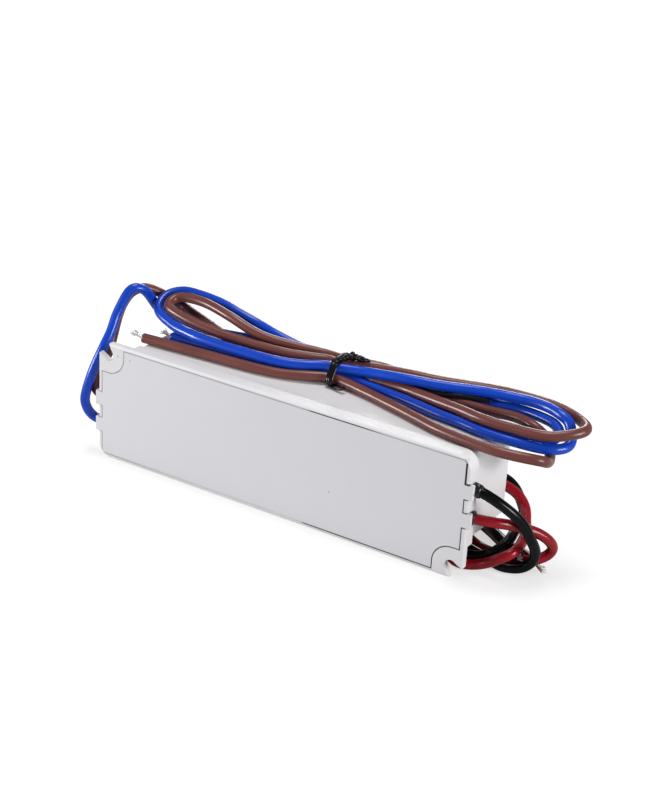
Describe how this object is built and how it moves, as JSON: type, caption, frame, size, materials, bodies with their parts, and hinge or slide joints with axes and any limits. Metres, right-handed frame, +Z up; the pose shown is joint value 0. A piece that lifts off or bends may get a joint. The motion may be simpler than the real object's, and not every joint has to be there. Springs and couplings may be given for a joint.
{
  "type": "potted power supply",
  "caption": "Slim white potted power supply with two slotted corner ears, a flush cover, and loose mains and output leads.",
  "frame": {"origin": "middle of the base, on the surface that the unit stands on, without the free leads", "axes": "+X along the case from the mains leads to the output leads, -Y out of the flat cover, which is the mounting side, +Z up from the long side that the unit stands on"},
  "size_m": [0.1456, 0.0352, 0.0476],
  "materials": {
    "white_case": "moulded white ABS, fine satin",
    "cover_plate": "moulded pale grey-white ABS, smooth satin",
    "dark_compound": "set dark silicone compound, half gloss",
    "board_laminate": "green solder mask on glass laminate",
    "moulded_brown": "moulded brown resin",
    "dark_ceramic": "dark epoxy coat on a ceramic disc",
    "dipped_blue": "blue epoxy coat on a ceramic disc",
    "moulded_yellow": "yellow moulded box",
    "ferrite": "dark sintered ferrite",
    "moulded_black": "black moulding compound",
    "moulded_ivory": "white moulding compound",
    "enamelled_wire": "enamelled copper wire, closely wound",
    "winding_tape": "yellow film tape over the windings",
    "can_aluminium": "drawn aluminium can",
    "shrunk_sleeve": "dark blue shrunk sleeve",
    "resistor_coat": "grey-blue lacquer",
    "tinned_copper": "tinned copper",
    "blue_insulation": "glossy blue vinyl insulation",
    "brown_insulation": "glossy brown vinyl insulation",
    "red_insulation": "glossy red vinyl insulation",
    "black_insulation": "glossy black vinyl insulation",
    "tie_plastic": "black plastic strip over a thin steel wire"
  },
  "bodies": {
    "root": {"case": "white_case", "cover": "cover_plate", "potting_compound": "dark_compound", "circuit_board": "board_laminate", "fuse": "moulded_brown", "inrush_thermistor": "dark_ceramic", "surge_varistor": "dipped_blue", "filter_capacitor": "moulded_yellow", "choke_core": "ferrite", "choke_bobbin": "moulded_black", "choke_windings": "enamelled_wire", "bridge_rectifier": "moulded_black", "bulk_capacitor": "can_aluminium", "bulk_capacitor_sleeve": "shrunk_sleeve", "switching_controller": "moulded_black", "supply_capacitor": "shrunk_sleeve", "clamp_resistor": "resistor_coat", "transformer_core": "ferrite", "transformer_bobbin": "moulded_black", "transformer_windings": "winding_tape", "safety_capacitor": "dipped_blue", "optocoupler": "moulded_ivory", "voltage_reference": "moulded_black", "output_rectifier": "moulded_black", "output_capacitors": "shrunk_sleeve", "output_choke": "ferrite", "lead_terminals": "tinned_copper", "exit_sealant": "dark_compound", "blue_lead": "blue_insulation", "brown_lead": "brown_insulation", "red_lead": "red_insulation", "black_lead": "black_insulation", "blue_strands": "tinned_copper", "brown_strands": "tinned_copper", "red_strands": "tinned_copper", "black_strands": "tinned_copper", "twist_tie": "tie_plastic"}
  },
  "joints": []
}
